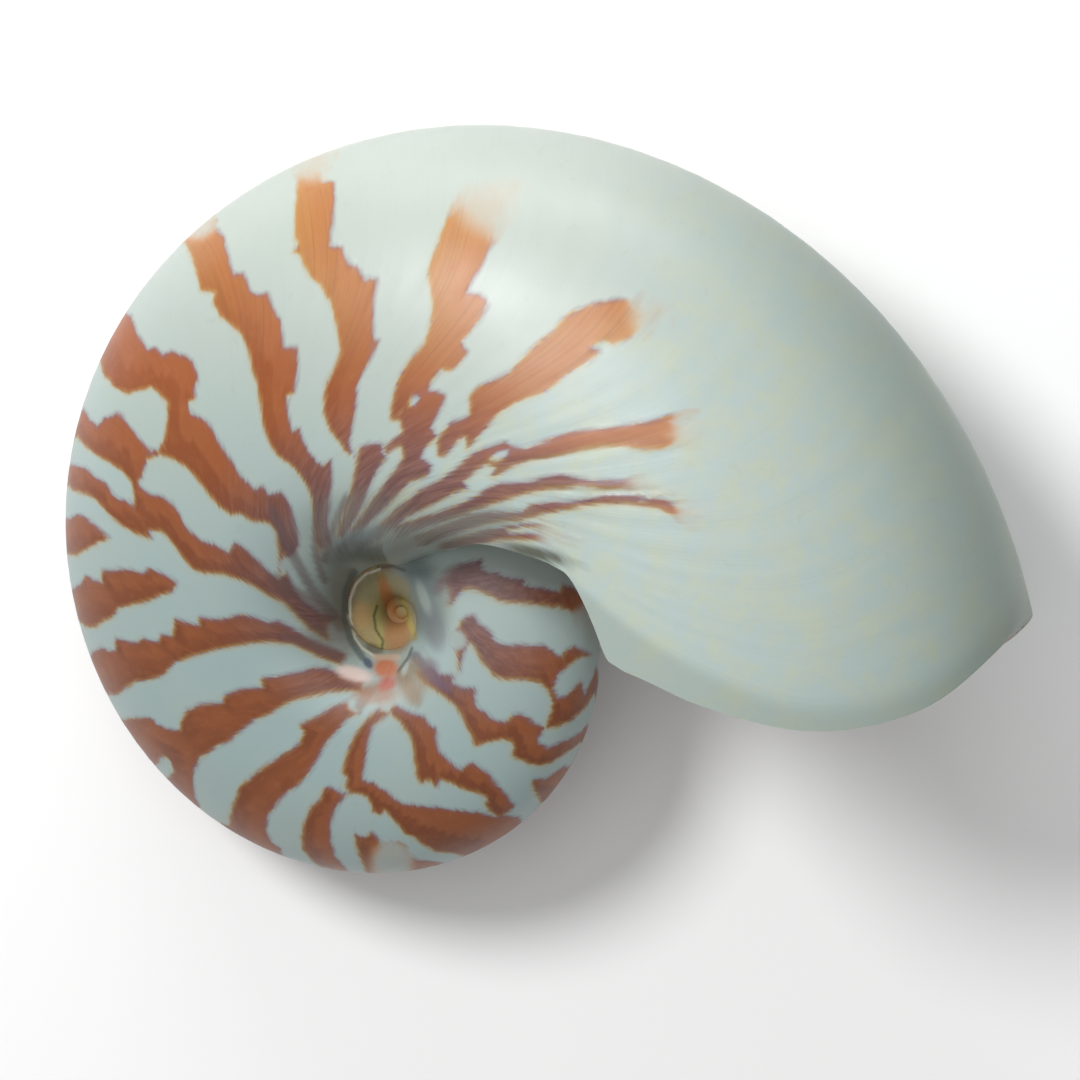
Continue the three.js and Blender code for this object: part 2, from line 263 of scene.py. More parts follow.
# Painted detail round the umbilicus, a painted highlight and a painted glint among it, in order: an oval's
# middle, half lengths (pixels) and tilt, or a line's points and width (pixels), then how it looks on screen
# and how opaque it is
DETAILS = [
    (([(272, 508), (285, 540), (312, 590), (334, 615)], 7), (104, 86, 88), 0.75),
    (([(276, 580), (296, 594), (322, 608), (342, 625)], 9), (112, 88, 82), 0.7),
    (([(285, 636), (308, 643), (330, 652), (342, 658)], 7), (112, 82, 80), 0.75),
    (([(318, 500), (316, 522), (315, 553), (324, 580)], 5), (106, 84, 82), 0.7),
    (([(346, 498), (338, 515), (330, 540), (325, 560)], 5), (106, 88, 84), 0.7),
    (([(384, 500), (360, 528), (341, 550)], 5), (114, 96, 92), 0.7),
    (([(417, 509), (388, 526), (360, 546)], 5), (112, 98, 94), 0.7),
    (([(478, 561), (450, 573), (436, 590)], 8), (122, 96, 98), 0.75),
    (([(415, 656), (430, 675), (447, 688)], 7), (108, 88, 110), 0.7),
    (([(402, 676), (416, 700)], 9), (148, 112, 72), 0.6),
    (([(368, 694), (360, 706)], 7), (126, 78, 56), 0.6),
    (((345, 596), (20, 50), 8), (108, 100, 96), 0.55),
    (((332, 640), (34, 20), -16), (116, 98, 88), 0.6),
    (((350, 548), (34, 15), 30), (84, 88, 84), 0.55),
    (((392, 553), (48, 11), 4), (80, 82, 76), 0.75),
    (((372, 532), (44, 10), 14), (112, 130, 134), 0.5),
    (((420, 592), (20, 50), 12), (112, 124, 126), 0.8),
    (((424, 598), (6, 24), 20), (168, 178, 170), 0.6),
    (((436, 630), (12, 26), 6), (118, 116, 122), 0.6),
    (((412, 680), (20, 26), 0), (142, 112, 76), 0.75),
    (((430, 668), (12, 12), 0), (112, 94, 108), 0.6),
    (([(354, 572), (346, 592), (345, 616), (351, 640), (362, 657)], 5), (64, 72, 74), 0.7),
    (((383, 612), (36, 46), 4), (154, 140, 96), 1.0),
    (((366, 588), (15, 20), -30), (138, 134, 104), 0.8),
    (((362, 616), (12, 16), 0), (176, 140, 92), 0.7),
    (((398, 586), (12, 13), 30), (152, 138, 100), 0.8),
    (((388, 598), (8, 28), 18), (176, 108, 58), 0.85),
    (((397, 632), (16, 24), 0), (158, 110, 70), 0.9),
    (([(403, 598), (409, 620), (415, 638)], 4), (172, 156, 86), 0.7),
    (([(376, 608), (379, 628), (381, 646)], 5), (158, 156, 90), 0.7),
    (((374, 649), (12, 6), -24), (84, 72, 46), 0.7),
    (([(377, 606), (374, 616), (376, 630), (383, 641), (382, 649)], 1.8), (66, 60, 34), 0.85),
    (([(404, 570), (392, 566), (378, 568)], 2.4), (92, 92, 84), 0.8),
    (([(380, 569), (366, 574), (356, 584), (350, 600), (350, 620), (355, 638), (362, 648), (374, 656)], 1.7),
     (226, 224, 208), 0.85),
    (((368, 663), (8, 5), -50), (42, 48, 88), 0.85),
    (((376, 694), (26, 12), 0), (158, 104, 66), 0.8),
    (((386, 668), (15, 13), 0), (202, 108, 58), 0.95),
    (((387, 684), (12, 8), 20), (192, 72, 36), 0.85),
    (([(375, 657), (398, 657)], 4), (214, 176, 150), 0.75),
    # a painted glint on the callus
    (((405, 668), (4, 9), -20), (188, 196, 190), 0.7),
    (([(398, 672), (408, 658), (412, 648)], 2), (58, 60, 50), 0.7),
    # a painted pink-white highlight on the callus
    (((354, 674), (22, 9), -14), (240, 214, 204), 0.95),
]

# How fine the mesh is (mm, degrees, points)
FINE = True
RING_SPACING = 1.8 if FINE else 2.6
HOLLOW_TURN_STEP = 3.0
HALF_POINTS = 66 if FINE else 46
STRIPE_EDGE_SPACING = 0.75
UMBILICAL_EDGE_SPACING = 0.45


def smoothstep(x, low, high):
    t = np.clip((x - low) / (high - low), 0.0, 1.0)
    return t * t * (3 - 2 * t)


def outer_radius(turn):
    return OUTER_RADIUS * GROWTH ** ((turn - 360.0) / 360.0)


def bezier(points, t):
    """A point and the slope of a cubic curve whose four points may differ for each t."""
    a, b, c, d = points
    t = t[..., None]
    s = 1 - t
    value = s ** 3 * a + 3 * s * s * t * b + 3 * s * t * t * c + t ** 3 * d
    slope = 3 * s * s * (b - a) + 6 * s * t * (c - b) + 3 * t * t * (d - c)
    return value, slope / np.linalg.norm(slope, axis=-1, keepdims=True)


def half_section(turn, share):
    """(distance from the axis, half width) over the outer radius, and the direction towards the keel."""
    turn, share = np.broadcast_arrays(np.asarray(turn, float), np.asarray(share, float))
    release = smoothstep(turn, RELEASE_FROM, RELEASE_TO)
    mix = lambda a, b: np.array(a) + release[..., None] * (np.array(b) - np.array(a))
    outer = [np.array(p) for p in (FLANK, OUTER_FLANK, KEEL_ROUNDING, KEEL)]
    seam = bezier(outer, RELEASED_SEAM * release)[0] * (1 - SEAM_SINK) / GROWTH
    flank = mix(FLANK, RELEASED_FLANK)
    inner = (seam, mix(UMBILICAL_WALL, RELEASED_WALL), mix(SHOULDER, RELEASED_SHOULDER), flank)
    wall, wall_slope = bezier(inner, np.clip(share / FLANK_SHARE, 0, 1))
    curve, curve_slope = bezier((flank, *outer[1:]), np.clip((share - FLANK_SHARE) / (1 - FLANK_SHARE), 0, 1))
    on_wall = (share < FLANK_SHARE)[..., None]
    return np.where(on_wall, wall, curve), np.where(on_wall, wall_slope, curve_slope)


def lip_lead(share, line=LIP_LEAD):
    """How far the lip, or another growth line, runs ahead of its middle, in degrees of turn."""
    x, y = np.array(line, float).T
    slope = np.gradient(y, x)
    for i in range(len(x)):
        low, high = max(i - 1, 0), min(i + 1, len(x) - 1)
        slope[i] = (y[high] - y[low]) / (x[high] - x[low])
    i = np.clip(np.searchsorted(x, share) - 1, 0, len(x) - 2)
    span = x[i + 1] - x[i]
    t = (share - x[i]) / span
    rise = y[i] * (1 + 2 * t) * (1 - t) ** 2 + y[i + 1] * t * t * (3 - 2 * t)
    return rise + span * (slope[i] * t * (1 - t) ** 2 - slope[i + 1] * t * t * (1 - t))


def section(turn, share, inset=0.0):
    """Distance from the axis and half width of the surface, or of the hollow under its wall."""
    value, slope = half_section(turn, share)
    radius = outer_radius(turn)
    distance = value[..., 0] * radius + inset * np.where(share > 0, slope[..., 1], -1.0)
    width = np.maximum(value[..., 1] * radius - inset * slope[..., 0], 0.0)
    return distance, width


def surface(turn, share, inset=0.0):
    """Points of the near half of the coil's surface; a share over 1 is on the far half."""
    distance, width = section(turn, np.where(share > 1, 2 - share, share), inset)
    angle = np.radians(turn)
    height = np.where(share > 1, -width, width)
    return np.stack([distance * np.cos(angle), -distance * np.sin(angle), height], -1)


# The section's points, closer together where the lip's line turns
LIP_TURNS_AT = (0.34, 0.36)
SHARES = np.unique(np.concatenate([
    np.linspace(0, LIP_TURNS_AT[0], int(HALF_POINTS * 0.34)),
    np.linspace(*LIP_TURNS_AT, 13),
    np.linspace(LIP_TURNS_AT[1], 1, int(HALF_POINTS * 0.6))]))

# The solid: the same lengths of coil, hollow and openings as in the part
OPEN_LENGTH_FROM, PREVIOUS_LENGTH_FROM, EARLY_LENGTH_FROM = 120.0, -130.0, -415.0


def ring(turn, inset=0.0):
    lean = smoothstep(turn, LEAN_FROM, LIP_TURN)
    near = surface(turn + lean * lip_lead(SHARES), SHARES, inset)
    far = near[-2::-1] * (1, 1, -1)
    return np.vstack([near, far])


def tube(name, rings):
    """A closed mesh through a row of rings, each end filled by strips between its two halves."""
    rings = np.array(rings)
    rows, count = rings.shape[:2]
    step = np.arange(count)
    after = (step + 1) % count
    faces = []
    for r in range(rows - 1):
        a = r * count
        faces.append(np.stack([a + step, a + count + step, a + count + after, a + after], -1))
    faces = np.vstack(faces).tolist()
    for first, flip in ((0, False), ((rows - 1) * count, True)):
        for i in range((count - 1) // 2):
            face = [first + i, first + i + 1, first + count - 2 - i, first + count - 1 - i]
            face = list(dict.fromkeys(face))
            faces.append(face[::-1] if flip else face)
    mesh = bpy.data.meshes.new(name)
    mesh.from_pydata(rings.reshape(-1, 3).tolist(), [], faces)
    made = bpy.data.objects.new(name, mesh)
    bpy.context.scene.collection.objects.link(made)
    return made


def whorl(start, end, spacing):
    """Rings that are the same distance apart all along the coil."""
    length = lambda turn: outer_radius(turn) * 360 / np.log(GROWTH) * np.radians(1)
    steps = int(np.ceil((length(end) - length(start)) / spacing))
    marks = np.linspace(length(start), length(end), steps + 1)
    turns = 360 + 360 * np.log(marks / length(360)) / np.log(GROWTH)
    return [ring(turn) for turn in turns]


def hollow_rings():
    rings = []
    for arc in np.linspace(0.985 * np.pi / 2, 0, 14, endpoint=False):
        turn = SEPTUM_TURN - SEPTUM_DEPTH * np.sin(arc)
        radius = SEPTUM_MIDDLE * outer_radius(turn)
        middle = np.array((radius * np.cos(np.radians(turn)), -radius * np.sin(np.radians(turn)), 0.0))
        rings.append(middle + (ring(turn, WALL) - middle) * np.cos(arc))
    steps = int((LIP_TURN + BEYOND_LIP - SEPTUM_TURN) / HOLLOW_TURN_STEP)
    return rings + [ring(turn, WALL) for turn in np.linspace(SEPTUM_TURN, LIP_TURN + BEYOND_LIP, steps)]


def combine(target, other, operation):
    cut = target.modifiers.new(operation, "BOOLEAN")
    cut.operation = operation
    cut.solver = "MANIFOLD"
    cut.object = other
    depsgraph = bpy.context.evaluated_depsgraph_get()
    mesh = bpy.data.meshes.new_from_object(target.evaluated_get(depsgraph))
    target.modifiers.clear()
    spent = target.data
    target.data = mesh
    bpy.data.meshes.remove(spent)
    bpy.data.meshes.remove(other.data)


def make_solid():
    shell = tube("nautilus_shell", whorl(OPEN_LENGTH_FROM, LIP_TURN, RING_SPACING))
    combine(shell, tube("hollow", hollow_rings()), "DIFFERENCE")
    for start, end, spacing in ((PREVIOUS_LENGTH_FROM, OPEN_LENGTH_FROM, 0.8 * RING_SPACING),
                                (EARLY_LENGTH_FROM, PREVIOUS_LENGTH_FROM, 0.7 * RING_SPACING),
                                (FIRST_TURN, EARLY_LENGTH_FROM, 0.4 * RING_SPACING)):
        combine(shell, tube("length", whorl(start, end, spacing)), "UNION")
    bpy.ops.mesh.primitive_uv_sphere_add(segments=24, ring_count=14, radius=BUD_RADIUS)
    combine(shell, bpy.context.object, "UNION")
    turn = np.radians(SEPTUM_TURN - SEPTUM_DEPTH)
    radius = SEPTUM_MIDDLE * outer_radius(SEPTUM_TURN - SEPTUM_DEPTH)
    bpy.ops.mesh.primitive_cylinder_add(
        vertices=32, radius=SIPHON_RADIUS, depth=2 * SIPHON_DEPTH,
        location=(radius * np.cos(turn), -radius * np.sin(turn), 0), rotation=(np.pi / 2, 0, -turn))
    combine(shell, bpy.context.object, "DIFFERENCE")
    return shell


# Where each point of the solid is on the coil
OUTSIDE, UNDER_WALL, ELSEWHERE = 0, 1, 2


def nearest_share(turn, distance, width, inset):
    """The share of the section at each turn that is nearest to each point, and the gap to it (mm)."""
    coarse = np.linspace(0, 1, 33)
    share = np.zeros(len(turn))
    for part in np.array_split(np.arange(len(turn)), len(turn) // 4000 + 1):
        d, w = section(turn[part, None], coarse, inset)
        share[part] = coarse[((d - distance[part, None]) ** 2 + (w - width[part, None]) ** 2).argmin(1)]
    step = coarse[1]
    rows = np.arange(len(turn))
    for _ in range(10):
        step *= 0.5
        options = np.clip(share[:, None] + step * np.array((0, -1, 1)), 0, 1)
        d, w = section(turn[:, None], options, inset)
        gap = (d - distance[:, None]) ** 2 + (w - width[:, None]) ** 2
        best = gap.argmin(1)
        share = options[rows, best]
    return share, np.sqrt(gap[rows, best])


def locate(points):
    """Turn, share and layer of each point."""
    count = len(points)
    angle = np.degrees(np.arctan2(-points[:, 1], points[:, 0]))
    distance, width = np.hypot(points[:, 0], points[:, 1]), np.abs(points[:, 2])
    found_turn, found_share = angle - 720, np.zeros(count)
    layer, gap = np.full(count, ELSEWHERE), np.full(count, 0.3)
    for kind, inset, first in ((OUTSIDE, 0.0, FIRST_TURN), (UNDER_WALL, WALL, SEPTUM_TURN)):
        for whole in (-720, -360, 0, 360):
            turn = angle + whole
            radius = outer_radius(turn)
            pick = np.flatnonzero((turn >= first) & (turn < LIP_TURN + 16) & (distance < 1.02 * radius + 1))
            share, off = nearest_share(turn[pick], distance[pick], width[pick], inset)
            beyond = turn[pick] - lip_lead(share) > LIP_TURN + 1
            better = (off + beyond < gap[pick]) & ~beyond
            pick = pick[better]
            found_turn[pick], found_share[pick] = turn[pick], share[better]
            layer[pick], gap[pick] = kind, off[better]
    return found_turn, found_share, layer


# The photograph's view of the near side
VIEW_AXES = np.array([
    (np.cos(VIEW_RIGHT), 0.0, -np.sin(VIEW_RIGHT)),
    (-np.sin(VIEW_RIGHT) * np.sin(VIEW_ABOVE), np.cos(VIEW_ABOVE), -np.cos(VIEW_RIGHT) * np.sin(VIEW_ABOVE)),
    (np.sin(VIEW_RIGHT) * np.cos(VIEW_ABOVE), np.sin(VIEW_ABOVE), np.cos(VIEW_RIGHT) * np.cos(VIEW_ABOVE))])


def pixels(points):
    """Where points show in the photograph, and how near the camera they are."""
    across, above, near = VIEW_AXES @ (np.asarray(points).T / MM_PER_PX)
    scale = VIEW_DISTANCE_PX / (VIEW_DISTANCE_PX - near)
    return np.stack([MIDDLE_PX + (across + POLE_RIGHT_PX) * scale,
                     MIDDLE_PX - (above + POLE_UP_PX) * scale, near], -1)


SEARCH_PX, FRONT_PX = 5.0, 30


class Sheet:
    """The near surface between two turns, to look up the surface behind a pixel."""

    def __init__(self, first, last):
        turn, share = np.meshgrid(np.arange(first, last, 0.6), np.linspace(0, 1.3, 170), indexing="ij")
        real = turn - lip_lead(np.where(share > 1, 2 - share, share)) < LIP_TURN
        self.places = np.stack([turn[real], share[real]], -1)
        self.pixel = pixels(surface(*self.places.T))
        self.tree = KDTree(len(self.places))
        for i, (x, y, _) in enumerate(self.pixel.tolist()):
            self.tree.insert((x, y, 0), i)
        self.tree.balance()

    def behind(self, spots):
        """Turn and share in front at each pixel; off the coil's outline they are just over the keel."""
        found, off = [], []
        for x, y in spots:
            close = self.tree.find_range((x, y, 0), SEARCH_PX)
            off.append(not close)
            if close:
                front = max(self.pixel[i, 2] for _, i, _ in close) - FRONT_PX
                found.append(min((away, i) for _, i, away in close if self.pixel[i, 2] > front)[1])
            else:
                found.append(self.tree.find((x, y, 0))[1])
        found, off, spots = self.places[found], np.array(off), np.array(spots)
        for _ in range(4):
            here = pixels(surface(*found.T))[:, :2]
            by_turn = (pixels(surface(found[:, 0] + 0.1, found[:, 1]))[:, :2] - here) / 0.1
            by_share = (pixels(surface(found[:, 0], found[:, 1] + 0.004))[:, :2] - here) / 0.004
            area = by_turn[:, 0] * by_share[:, 1] - by_turn[:, 1] * by_share[:, 0]
            area = np.where(abs(area) < 40, np.where(area < 0, -40, 40), area)
            miss = spots - here
            step = np.stack([(miss[:, 0] * by_share[:, 1] - miss[:, 1] * by_share[:, 0]) / area,
                             (miss[:, 1] * by_turn[:, 0] - miss[:, 0] * by_turn[:, 1]) / area], -1)
            found = found + np.clip(step, (-0.6, -0.01), (0.6, 0.01)) * ~off[:, None]
        found[:, 1] = np.where(off, np.maximum(found[:, 1] + 0.02, 1.02), np.clip(found[:, 1], 0, 1.3))
        return found


FAR = -3.6  # the signed distance (mm) past which a stripe no longer matters
OUTLINE_STEP_PX = 5.0


def walk(corners, step):
    """Points along a closed outline, no further apart than the step."""
    made = []
    for a, b in zip(corners, corners[1:] + corners[:1]):
        pieces = max(1, int(np.ceil(np.hypot(b[0] - a[0], b[1] - a[1]) / step)))
        for k in range(pieces):
            made.append((a[0] + (b[0] - a[0]) * k / pieces, a[1] + (b[1] - a[1]) * k / pieces))
    return made


class Marking:
    """One outline on the surface: signed distance to it (mm), positive inside."""

    def __init__(self, sheet, corners, fades=()):
        self.fades = fades
        self.outline = sheet.behind(walk(corners, OUTLINE_STEP_PX))
        along = np.linspace(0, 1, 4, endpoint=False)[:, None]
        after = np.roll(self.outline, -1, 0)
        dense = np.concatenate([a + (b - a) * along for a, b in zip(self.outline, after)])
        self.edge = surface(*dense.T)
        self.tree = KDTree(len(self.edge))
        for i, place in enumerate(self.edge.tolist()):
            self.tree.insert(place, i)
        self.tree.balance()

    def reach(self, turn, share):
        """The points near enough for the distance to matter."""
        margin = -FAR / outer_radius(turn)
        low, high = self.outline.min(0), self.outline.max(0)
        return ((turn > low[0] - 80 * margin) & (turn < high[0] + 80 * margin) &
                (share > low[1] - 1.4 * margin) & (share < high[1] + 1.4 * margin))

    def inside(self, turn, share):
        result = np.zeros(len(turn), bool)
        for (t0, s0), (t1, s1) in zip(self.outline, np.roll(self.outline, -1, 0)):
            if s0 == s1:
                continue
            crosses = (s0 > share) != (s1 > share)
            result[crosses] ^= turn[crosses] < t0 + (share[crosses] - s0) / (s1 - s0) * (t1 - t0)
        return result

    def signed(self, turn, share, points):
        nearest = [self.tree.find(p) for p in points.tolist()]
        distance = np.array([n[2] for n in nearest])
        edge = self.edge[[n[1] for n in nearest]]
        return np.where(self.inside(turn, share), distance, -distance), edge


STRIPES_FROM = -75
previous_sheet, last_sheet = Sheet(STRIPES_FROM, 185), Sheet(60, 366)
markings = []
for name, corners in STRIPES.items():
    on_previous = name.startswith(("right", "under", "bottom"))
    markings.append(Marking(previous_sheet if on_previous else last_sheet, corners, FADES.get(name, ())))
islands = [Marking(last_sheet, corners) for corners in ISLANDS.values()]


def stripe_field(turn, share):
    """Signed distance to the stripes (mm), which way the nearest edge faces, and how faint it is."""
    points = surface(turn, share)
    field, facing, faint = np.full(len(turn), FAR), np.zeros(len(turn)), np.zeros(len(turn))
    seen = pixels(points)
    for marking in markings:
        pick = np.flatnonzero(marking.reach(turn, share))
        if not len(pick):
            continue
        signed, edge = marking.signed(turn[pick], share[pick], points[pick])
        outward = (pixels(edge) - seen[pick])[:, :2] * np.sign(signed)[:, None]
        toward = -0.8 * outward[:, 0] + 0.6 * outward[:, 1]
        toward /= np.hypot(*outward.T) + 0.3
        softness = np.zeros(len(pick))
        for (x, y), reach in marking.fades:
            away = np.hypot(seen[pick, 0] - x, seen[pick, 1] - y)
            softness = np.maximum(softness, 1 - smoothstep(away, 0.3 * reach, reach))
        better = signed > field[pick]
        pick = pick[better]
        field[pick], facing[pick], faint[pick] = signed[better], toward[better], softness[better]
    for island in islands:
        pick = np.flatnonzero(island.reach(turn, share))
        if len(pick):
            signed, _ = island.signed(turn[pick], share[pick], points[pick])
            field[pick] = np.minimum(field[pick], -signed)
    return np.stack([np.clip(field, FAR, -FAR), facing, faint], -1)


# Finer triangles along the stripes' outlines and in the umbilicus
UMBILICUS, UMBILICUS_REACH = (383, 618), 55  # pixels


def on_near_side(points):
    """The same points, or their mirror images on the near side."""
    return points * (1, 1, 0) + np.outer(abs(points[:, 2]), (0, 0, 1))


def halve(triangles, cut_edge, middle_of):
    """Triangles with their marked edges cut in half."""
    middles = np.where(cut_edge, middle_of, -1)
    cuts = cut_edge.sum(1)
    first = np.where(cuts == 1, cut_edge.argmax(1), np.where(cuts == 2, (cut_edge.argmin(1) + 1) % 3, 0))
    order = (first[:, None] + np.arange(3)) % 3
    a, b, c = np.take_along_axis(triangles, order, 1).T
    ab, bc, ca = np.take_along_axis(middles, order, 1).T
    pieces = {0: [(a, b, c)],
              1: [(a, ab, c), (ab, b, c)],
              2: [(ab, b, bc), (a, ab, bc), (a, bc, c)],
              3: [(a, ab, ca), (ab, b, bc), (ca, bc, c), (ab, bc, ca)]}
    return np.vstack([np.stack(corners, -1)[cuts == number]
                      for number, made in pieces.items() for corners in made])


def refine(points, triangles, turn, share, layer, passes):
    """Halve the outside's edges near a stripe's outline, with the new points on the true surface."""
    markings_at = stripe_field(turn, share)
    for _ in range(passes):
        field = markings_at[:, 0]
        corners = np.sort(triangles[:, [[0, 1], [1, 2], [2, 0]]], -1).reshape(-1, 2)
        pairs, of_triangle = np.unique(corners, axis=0, return_inverse=True)
        a, b = pairs.T
        length = np.linalg.norm(points[a] - points[b], axis=1)
        close = (field[a] * field[b] < 0) | (np.minimum(abs(field[a]), abs(field[b])) < 0.15 * length)
        close &= (length > STRIPE_EDGE_SPACING) & (turn[a] > STRIPES_FROM)
        middle = pixels(on_near_side((points[a] + points[b]) / 2))
        umbilical = np.hypot(middle[:, 0] - UMBILICUS[0], middle[:, 1] - UMBILICUS[1]) < UMBILICUS_REACH
        one_sheet = (layer[a] == OUTSIDE) & (layer[b] == OUTSIDE) & (abs(turn[a] - turn[b]) < 20)
        cut = one_sheet & (close | (umbilical & (length > UMBILICAL_EDGE_SPACING)))
        a, b = a[cut], b[cut]
        middle = (points[a] + points[b]) / 2
        angle = np.degrees(np.arctan2(-middle[:, 1], middle[:, 0]))
        new_turn = angle + 360 * np.round(((turn[a] + turn[b]) / 2 - angle) / 360)
        new_share, _ = nearest_share(new_turn, np.hypot(middle[:, 0], middle[:, 1]), abs(middle[:, 2]), 0.0)
        middle = surface(new_turn, new_share) * np.stack([np.ones(len(a)), np.ones(len(a)),
                                                          np.where(middle[:, 2] < 0, -1, 1)], -1)
        number = np.where(cut, len(points) + np.cumsum(cut) - 1, -1)
        triangles = halve(triangles, cut[of_triangle].reshape(-1, 3), number[of_triangle].reshape(-1, 3))
        points, turn, share = np.vstack([points, middle]), np.r_[turn, new_turn], np.r_[share, new_share]
        markings_at = np.vstack([markings_at, stripe_field(new_turn, new_share)])
        layer = np.r_[layer, np.full(len(a), OUTSIDE)]
    return points, triangles, turn, share, layer, markings_at


solid = make_solid()
solid.data.calc_loop_triangles()
points = np.empty(len(solid.data.vertices) * 3)
solid.data.vertices.foreach_get("co", points)
points = points.reshape(-1, 3)
triangles = np.empty(len(solid.data.loop_triangles) * 3, int)
solid.data.loop_triangles.foreach_get("vertices", triangles)
triangles = triangles.reshape(-1, 3)
turn, share, layer = locate(points)
points, triangles, turn, share, layer, markings_at = refine(points, triangles, turn, share, layer,
                                                            2 if FINE else 1)
field, facing, soft = markings_at.T
layer[np.linalg.norm(points, axis=1) < BUD_RADIUS + 0.1] = OUTSIDE

# Where the surface is tinted: zones of the photograph, on the near and the far side alike
# Each zone: middle (pixels), half lengths (pixels), tilt (degrees), how strong in its middle
SMOKE = [((376, 545), (72, 24), 10, 1.0), ((340, 585), (26, 46), 10, 0.7), ((450, 530), (90, 20), 12, 0.7),
         ((425, 600), (30, 52), 12, 0.85), ((350, 520), (70, 34), 10, 0.45)]
PURPLE = [((400, 560), (195, 170), 0, 1.0), ((445, 650), (70, 60), 0, 0.9), ((540, 490), (140, 50), -5, 0.8)]
# Painted shade along the underside of the lip's edge, where the last whorl overhangs the one before
PAINTED_LIP_SHADE = [((538, 554), (44, 8), -14, 1.0)]
GLAZE = [((575, 500), (62, 34), 8, 1.0), ((384, 674), (40, 26), 0, 1.0)]


def zones(seen, places):
    strongest = np.zeros(len(seen))
    for (x, y), (long, short), tilt, strength in places:
        c, s = np.cos(np.radians(tilt)), np.sin(np.radians(tilt))
        right, up = seen[:, 0] - x, y - seen[:, 1]
        away = np.hypot((right * c + up * s) / long, (up * c - right * s) / short)
        strongest = np.maximum(strongest, strength * (1 - smoothstep(away, 0.45, 1.15)))
    return strongest


BRIGHTNESS = 1.10  # of the light on a surface that faces up
GLOSS = 0.012  # what a shiny surface adds to it


def line_distance(seen, line):
    """How far each pixel is from a line through points."""
    nearest = np.full(len(seen), np.inf)
    for (x0, y0), (x1, y1) in zip(line, line[1:]):
        right, down = x1 - x0, y1 - y0
        along = ((seen[:, 0] - x0) * right + (seen[:, 1] - y0) * down) / (right ** 2 + down ** 2)
        along = np.clip(along, 0, 1)
        away = np.hypot(seen[:, 0] - x0 - along * right, seen[:, 1] - y0 - along * down)
        nearest = np.minimum(nearest, away)
    return nearest


def painted(seen):
    """The details' colours over each other, and how opaque they are together."""
    skin, cover = np.zeros((len(seen), 3)), np.zeros(len(seen))
    for shape, tint, strength in DETAILS:
        if len(shape) == 3:
            opacity = strength * zones(seen, [(*shape, 1.0)])
        else:
            line, width = shape
            opacity = strength * (1 - smoothstep(line_distance(seen, line), 0.35 * width, 1.1 * width))
        skin = skin + (np.array(colour(*tint)[:3]) - skin) * opacity[:, None] / np.maximum(
            opacity + cover * (1 - opacity), 1e-6)[:, None]
        cover = opacity + cover * (1 - opacity)
    return skin, cover


def colour(red, green, blue):
    """The colour of a surface that looks like this, 0 to 255, under the studio's light."""
    value = np.array((red, green, blue)) / 255
    value = np.where(value < 0.04045, value / 12.92, ((value + 0.055) / 1.055) ** 2.4)
    return (*np.maximum(value / BRIGHTNESS - GLOSS, 0.004).tolist(), 1.0)


seen = pixels(on_near_side(points))
growth = turn - lip_lead(share, GROWTH_LEAD)
across = np.where(points[:, 2] < 0, 2 - share, share)
outside = layer == OUTSIDE
covered = smoothstep(-turn + 70 * (share - 0.55), 47, 62) * smoothstep(share, 0.42, 0.54)
covered *= outside * (turn > -150)

tint, tinted = painted(seen)
tinted *= outside * (turn < 290) * (share < 0.5)

values = {
    "stripe": np.where(outside, field, FAR),
    "facing": facing,
    "soft": soft,
    "smoke": zones(seen, SMOKE) * (turn > -80),
    "purple": zones(seen, PURPLE),
    "tinted": tinted,
    # painted shade under the lip's edge
    "under_lip": zones(seen, PAINTED_LIP_SHADE) * (growth > 200),
    "glaze": zones(seen, GLAZE) * (growth > 200),
    "plain": smoothstep(growth, 286, 318),
    "early": smoothstep(-turn, 62, 100),
    # painted shade: darker towards the keel near the mouth, the right edge of the view
    "painted_keel_shade": smoothstep(share, 0.66, 1.0) * smoothstep(growth, 285, 335),
    "cool": smoothstep(seen[:, 1] - 0.35 * seen[:, 0], 60, 620),
    "covered": covered,
    "edge": smoothstep(growth, LIP_TURN - 3.5, LIP_TURN - 0.3) * (growth > 300),
}

# The shell's mesh: faint growth ridges are real, and it lies as it rests
RIDGE_HEIGHT = 0.028  # mm
coarse_ridges = np.sin(growth * 1.9 + 2.2 * np.sin(growth * 0.31))
fine_ridges = np.sin(growth * 4.7 + 1.3 * np.sin(growth * 0.9))
height = RIDGE_HEIGHT * (coarse_ridges + 0.6 * fine_ridges) * outside * (turn > 0)
height *= smoothstep(share, 0.3, 0.45) * smoothstep(LIP_TURN - growth, 1, 8)
height *= (1 - covered) * outer_radius(turn) / OUTER_RADIUS
_, slope = half_section(turn, share)
angle = np.radians(turn)
outward = np.stack([-slope[:, 1] * np.cos(angle), slope[:, 1] * np.sin(angle),
                    np.where(points[:, 2] < 0, -1, 1) * slope[:, 0]], -1)
points = points + outward * height[:, None]

AT_REST = np.array(Matrix.Rotation(REST_ABOUT_Y, 3, "Y") @ Matrix.Rotation(REST_ABOUT_X, 3, "X"))
mesh = bpy.data.meshes.new("nautilus_shell")
mesh.from_pydata(((points @ AT_REST.T + POLE) * MM).tolist(), [], triangles.tolist())
bpy.data.meshes.remove(solid.data)
shell = bpy.data.objects.new("nautilus_shell", mesh)
bpy.context.scene.collection.objects.link(shell)
for name, value in values.items():
    mesh.attributes.new(name, "FLOAT", "POINT").data.foreach_set("value", np.asarray(value, np.float32))
mesh.attributes.new("tint", "FLOAT_COLOR", "POINT").data.foreach_set(
    "color", np.hstack([tint, np.ones((len(tint), 1))]).astype(np.float32).ravel())
coil = np.stack([growth / 10, across, turn / 100], -1).astype(np.float32)
mesh.attributes.new("coil", "FLOAT_VECTOR", "POINT").data.foreach_set("vector", coil.ravel())
mesh.shade_smooth()
mesh.set_sharp_from_angle(angle=np.radians(38))
pearly = (~outside | (covered > 0.98))[triangles].all(1)
mesh.polygons.foreach_set("material_index", pearly.astype(np.int32))


